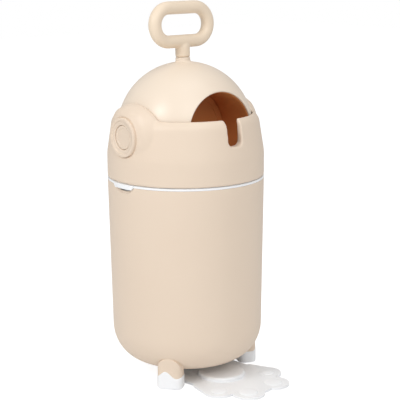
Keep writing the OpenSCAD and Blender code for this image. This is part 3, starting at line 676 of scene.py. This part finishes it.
corner_radius, corner_skin = 0.015, 0.0042
corner_up = edge_up - 0.0005 + corner_radius
corner_side = math.sqrt((pod_radius + corner_radius) ** 2 - corner_up ** 2)
corner_start = 180 + math.degrees(math.atan2(corner_up, corner_side))
touch = bow((corner_side, corner_up), (corner_radius, corner_radius), corner_start, 270, 12)
inner_y = touch[0][0] - 0.012
corner_line = touch + [(corner_side, edge_up - 0.004), (inner_y, edge_up - 0.004), (inner_y, touch[0][1])]
skin_half = bow((0, 0), (clear_radius + corner_skin, clear_radius + corner_skin), -90, 90, 48)
for side in (-1, 1):
    corner = slab("corner", [(side * y, z + hub_z) for y, z in corner_line], 0.12)
    combine(corner, lathe("corner_skin", skin_half, steps=128, centre=(0, 0, hub_z)), "INTERSECT")
    combine(head, corner, "UNION")

ball_half = bow((0, 0), (clear_radius, clear_radius), -90, 90, 64)
combine(head, lathe("ball_space", ball_half, steps=160, centre=(0, 0, hub_z)), "DIFFERENCE")
combine(head, notch("slot", notch_half, notch_corner, edge_up + 0.03), "DIFFERENCE")
for side in (-1, 1):
    recess = [(0, hub_floor), (hub_seat_radius, hub_floor), (hub_seat_radius, 0.16), (0, 0.16)]
    recess_solid = lathe("recess", [(r, side * x) for r, x in recess], axis="X", steps=96, centre=(0, 0, hub_z))
    combine(head, recess_solid, "DIFFERENCE")
print("head before softening:", len(head.data.polygons), "faces")

# %% Soften the head
soften(head, 0.00195, 10)
hand_over(head, "head", "beige_shell", "head_shell")

# %% [markdown]
# ## The drum
#
# The ball is a turned shell, open at both ends of the tube that crosses it. Its mouth has a small
# rounded lip. On top stands a short boss, with a hollow fillet at its foot, where the handle is
# screwed on. The drum is drawn about the origin and then moved to the hubs, leaning back a little.

# %% Drum shell
ball_radius, ball_wall = 0.121, 0.003
mouth_radius, lip_radius = 0.0706, 0.0014
stem_radius, stem_joint, stem_fillet = 0.013, 0.128, 0.0035
hubs = (0, 0, hub_z)
lip_r = mouth_radius + lip_radius
lip_y = math.sqrt((ball_radius - lip_radius) ** 2 - lip_r ** 2)
lip_angle = math.degrees(math.atan2(lip_y, lip_r))
inner_radius = ball_radius - ball_wall
inner_angle = math.degrees(math.acos(mouth_radius / inner_radius))

ball = bow((0, 0), (ball_radius, ball_radius), -lip_angle, lip_angle, 72)
ball += bow((lip_r, lip_y), (lip_radius, lip_radius), lip_angle, 180, 6)[1:]
ball += bow((0, 0), (inner_radius, inner_radius), inner_angle, -inner_angle, 40)
ball += bow((lip_r, -lip_y), (lip_radius, lip_radius), 180, 360 - lip_angle, 6)
drum = lathe("drum", ball, axis="Y", steps=176)

fillet_r = stem_radius + stem_fillet
fillet_z = math.sqrt((ball_radius + stem_fillet) ** 2 - fillet_r ** 2)
fillet_stop = 180 + math.degrees(math.atan2(fillet_z, fillet_r))
boss_low, chamfer = ball_radius - 0.002, 0.0008
boss = [(0, boss_low), (stem_radius + 0.0024, boss_low)]
boss += bow((fillet_r, fillet_z), (stem_fillet, stem_fillet), fillet_stop, 180, 8)
boss += [(stem_radius, stem_joint - chamfer), (stem_radius - chamfer, stem_joint), (0, stem_joint)]
combine(drum, lathe("boss", boss, steps=64), "UNION")
place(drum, hubs, (-drum_tilt, 0, 0))
hand_over(drum, "drum", "dome_shell", "drum_shell", crease=35)

# %% [markdown]
# Through the ball runs the tube. Its brown colour, which the plunger shares, is painted shade that
# stands for the deep shade inside the drum. Its ends are rounded, and stop just inside the lips of the
# drum. The plunger is a disc with a shallow dish, and its seal lies in the groove round its edge.

# %% Tube and plunger, in a brown that paints the shade inside the drum
tube_out, tube_in, tube_end, bead = 0.0719, 0.0695, 0.0935, 0.0010
half_tube = [(tube_out, tube_end - bead)] + bow((tube_out - bead, tube_end - bead), (bead, bead), 0, 90, 4)
half_tube += bow((tube_in + bead, tube_end - bead), (bead, bead), 90, 180, 4) + [(tube_in, 0)]
tube = half_tube + [(r, -y) for r, y in half_tube[-2::-1]] + [half_tube[0]]
tube_piece = lathe("tube", tube, axis="Y", steps=160)
place(tube_piece, hubs, (-drum_tilt, 0, 0))
hand_over(tube_piece, "drum", "tube_brown", "drop_tube", crease=50)

disc_radius, disc_front, disc_back = 0.0691, -0.022, -0.014
dish_radius, dish_depth, disc_round = 0.0592, 0.002, 0.0012
groove_front, groove_back, groove_depth = -0.0200, -0.0160, 0.0012
disc = [(0, disc_front + dish_depth), (dish_radius - dish_depth, disc_front + dish_depth)]
disc += bow((dish_radius - dish_depth, disc_front + dish_depth / 2), (dish_depth, dish_depth / 2), 90, 0, 4)[1:]
disc += bow((disc_radius - disc_round, disc_front + disc_round), (disc_round, disc_round), 270, 360, 5)
disc += [(disc_radius, groove_front), (disc_radius - groove_depth, groove_front + groove_depth / 2),
         (disc_radius - groove_depth, groove_back - groove_depth / 2), (disc_radius, groove_back)]
disc += bow((disc_radius - disc_round, disc_back - disc_round), (disc_round, disc_round), 0, 90, 5)
disc += [(0, disc_back)]
plunger = lathe("plunger_disc", disc, axis="Y", steps=160)
place(plunger, hubs, (-drum_tilt, 0, 0))
hand_over(plunger, "plunger", "tube_brown", "plunger", "plunger_seal", crease=40)

# %% [markdown]
# ## The handle
#
# The handle is a round bar, bent to a loop with two straight sides, on a stem. A circle is swept
# round: half a turn, a straight run, half a turn back, and a straight run home. The stem is joined
# to it, and softening the joined mesh gives the fillets where the stem runs into the loop.

# %% Loop handle
loop_middle, bar_gap, bar_half_length, bar_radius = 0.1853, 0.02925, 0.03025, 0.0115
clear_selection()
bpy.ops.mesh.primitive_circle_add(vertices=40, radius=bar_radius, rotation=(0, math.pi / 2, 0),
                                  location=(bar_half_length, 0, loop_middle + bar_gap))
handle = bpy.context.object
handle.name = "loop_handle"
bpy.ops.object.transform_apply(location=True, rotation=True, scale=True)
bpy.ops.object.mode_set(mode="EDIT")
bpy.ops.mesh.select_all(action="SELECT")
for side in (1, -1):
    bpy.ops.mesh.spin(steps=28, angle=-math.pi, center=(side * bar_half_length, 0, loop_middle), axis=(0, 1, 0))
    bpy.ops.mesh.extrude_region_move(TRANSFORM_OT_translate={"value": (-2 * side * bar_half_length, 0, 0)})
bpy.ops.mesh.select_all(action="SELECT")
bpy.ops.mesh.remove_doubles(threshold=0.0001)
bpy.ops.mesh.normals_make_consistent(inside=False)
bpy.ops.object.mode_set(mode="OBJECT")

stem_low = stem_joint + 0.0002
stem_top = loop_middle - bar_gap
stem = [(0, stem_low), (stem_radius - chamfer, stem_low), (stem_radius, stem_low + chamfer)]
stem += bow((0, stem_top - 0.010), (stem_radius, 0.012), 0, 90, 16)
combine(handle, lathe("stem", stem, steps=64), "UNION")
soften(handle, 0.0010, 26)
place(handle, hubs, (-drum_tilt, 0, 0))
hand_over(handle, "drum", "beige_handle", "handle")

# %% [markdown]
# ## Hub rings and caps
#
# On each side a ring lies in the round seat of the bulge, and a cap that turns with the drum closes
# its middle. Both are turned, with rounded edges that catch the light as thin lines.

# %% Hub rings and caps
hub_radius, hub_thickness, hub_edge = 0.0343, 0.0073, 0.0017
cap_radius, cap_thickness, cap_edge, cap_dish = 0.0208, 0.0026, 0.0012, 0.0006
ring_x0 = hub_floor + 0.0002
ring_x1 = ring_x0 + hub_thickness
bore = cap_radius + 0.0006
face_x = ring_x1 - 0.0014
cap_x0 = hub_floor + 0.0021
cap_x1 = cap_x0 + cap_thickness
ring_section = [(bore, ring_x0), (hub_radius, ring_x0)]
ring_section += bow((hub_radius - hub_edge, ring_x1 - hub_edge), (hub_edge, hub_edge), 0, 90, 6)
ring_section += bow((hub_radius - hub_edge - 0.0032, ring_x1 - 0.0007), (0.0007, 0.0007), 90, 180, 3)
ring_section += [(hub_radius - hub_edge - 0.0046, face_x)]
ring_section += bow((bore + hub_edge, face_x - hub_edge), (hub_edge, hub_edge), 90, 180, 6)
ring_section += [(bore, ring_x0)]
cap_section = [(0, cap_x0), (cap_radius, cap_x0)]
cap_section += bow((cap_radius - cap_edge, cap_x1 - cap_edge), (cap_edge, cap_edge), 0, 90, 6)
cap_section += bow((cap_radius - 0.005, cap_x1 - cap_dish), (cap_dish, cap_dish), 90, 180, 3)
cap_section += [(0, cap_x1 - cap_dish)]
for side, word in ((-1, "left"), (1, "right")):
    ring = lathe("hub_ring_soft_" + word, [(r, side * x) for r, x in ring_section], axis="X", steps=112, centre=hubs)
    hand_over(ring, "head", "beige_shell", "hub_ring_" + word, crease=50)
    cap = lathe("hub_cap_soft_" + word, [(r, side * x) for r, x in cap_section], axis="X", steps=96, centre=hubs)
    hand_over(cap, "drum", "beige_shell", "pivot_cap_" + word, crease=50)

# %% [markdown]
# ## Bag ring and foot plate
#
# These two keep the outline of their CAD solids. A copy of each mesh is cleaned of the triangles on
# its flat faces, and a Bevel modifier then rounds every sharp edge, as a mould would.

# %% Soft edged copies of two CAD solids


def soft_copy(node, name, width, segments=3, keep=None):
    """A copy of a CAD mesh, cut to what the keep form covers, with its sharp edges rounded."""
    source = frame["nodes"][node]
    piece = source.copy()
    piece.data = source.data.copy()
    piece.name = name
    bpy.context.scene.collection.objects.link(piece)
    world = source.matrix_world.copy()
    piece.parent = None
    piece.matrix_world = world
    clear_selection()
    piece.select_set(True)
    bpy.context.view_layer.objects.active = piece
    bpy.ops.object.transform_apply(location=True, rotation=True, scale=True)
    bpy.ops.object.mode_set(mode="EDIT")
    bpy.ops.mesh.select_all(action="SELECT")
    bpy.ops.mesh.remove_doubles(threshold=0.00001)
    bpy.ops.mesh.dissolve_limited(angle_limit=math.radians(0.5))
    bpy.ops.object.mode_set(mode="OBJECT")
    if keep:
        combine(piece, keep, "INTERSECT")
    bevel = piece.modifiers.new("bevel", "BEVEL")
    bevel.width = width
    bevel.segments = segments
    bevel.limit_method = "ANGLE"
    bevel.angle_limit = math.radians(42)
    apply_all(piece)
    return piece


hand_over(soft_copy("bag_ring", "bag_ring_soft", 0.0007), "ring", "white_plastic", "bag_ring", crease=40)

heel_radius, heel_middle = 0.0689, -0.0229
heel = [(0, -0.01), (heel_radius, -0.01), (heel_radius, 0.04), (0, 0.04)]
plate_form = lathe("plate_form", heel, steps=128, centre=(0, heel_middle, 0))
front = [(-0.3, -0.02), (heel_middle, -0.02), (heel_middle, 0.03), (-0.3, 0.03)]
combine(plate_form, slab("plate_front", front, 0.15), "UNION")
place(plate_form, turn=(0, 0, math.radians(base_turn)))
foot_plate = soft_copy("foot_plate", "foot_plate_soft", 0.0014, 4, plate_form)
hand_over(foot_plate, "plate", "white_plastic", "foot_plate", crease=40)

# %% [markdown]
# The pads of the paw are softer than the plate. The big one is a cushion with a rounded edge and a
# slight dish in its middle, and the four toe pads are low domes. They turn with the base.

# %% Pads of the paw
plate_top = 0.005
pad_distance, pad_radius, pad_height, pad_edge = 0.086, 0.042, 0.0068, 0.0045
toe_places = [(-0.063, -0.138, 0.027), (-0.033, -0.180, 0.029), (0.033, -0.180, 0.029), (0.063, -0.138, 0.027)]
toe_margin, toe_height = 0.0125, 0.0022


def turned(x, y):
    """A place on the base, after the base's turn under the head."""
    turn = math.radians(base_turn)
    return (x * math.cos(turn) - y * math.sin(turn), x * math.sin(turn) + y * math.cos(turn), plate_top)


pad = [(0, 0), (pad_radius, 0)]
pad += bow((pad_radius - pad_edge, pad_height - pad_edge), (pad_edge, pad_edge), 0, 90, 8)
pad += [(pad_radius * 0.72, pad_height - 0.0003), (pad_radius * 0.4, pad_height - 0.0009), (0, pad_height - 0.0011)]
main_pad = lathe("main_pad_soft", pad, steps=128)
place(main_pad, turned(0, -pad_distance))
hand_over(main_pad, "plate", "white_soft", "main_pad", crease=60)

toes = None
for x, y, radius in toe_places:
    dome_radius = radius - toe_margin
    dome = [(0, 0), (dome_radius, 0)] + bow((0, 0), (dome_radius, toe_height), 12, 90, 12)
    toe = lathe("toe_pads_soft", dome, steps=64)
    place(toe, turned(x, y))
    if toes:
        clear_selection()
        toe.select_set(True)
        toes.select_set(True)
        bpy.context.view_layer.objects.active = toes
        bpy.ops.object.join()
    else:
        toes = toe
hand_over(toes, "plate", "white_soft", "toe_pads", crease=50)
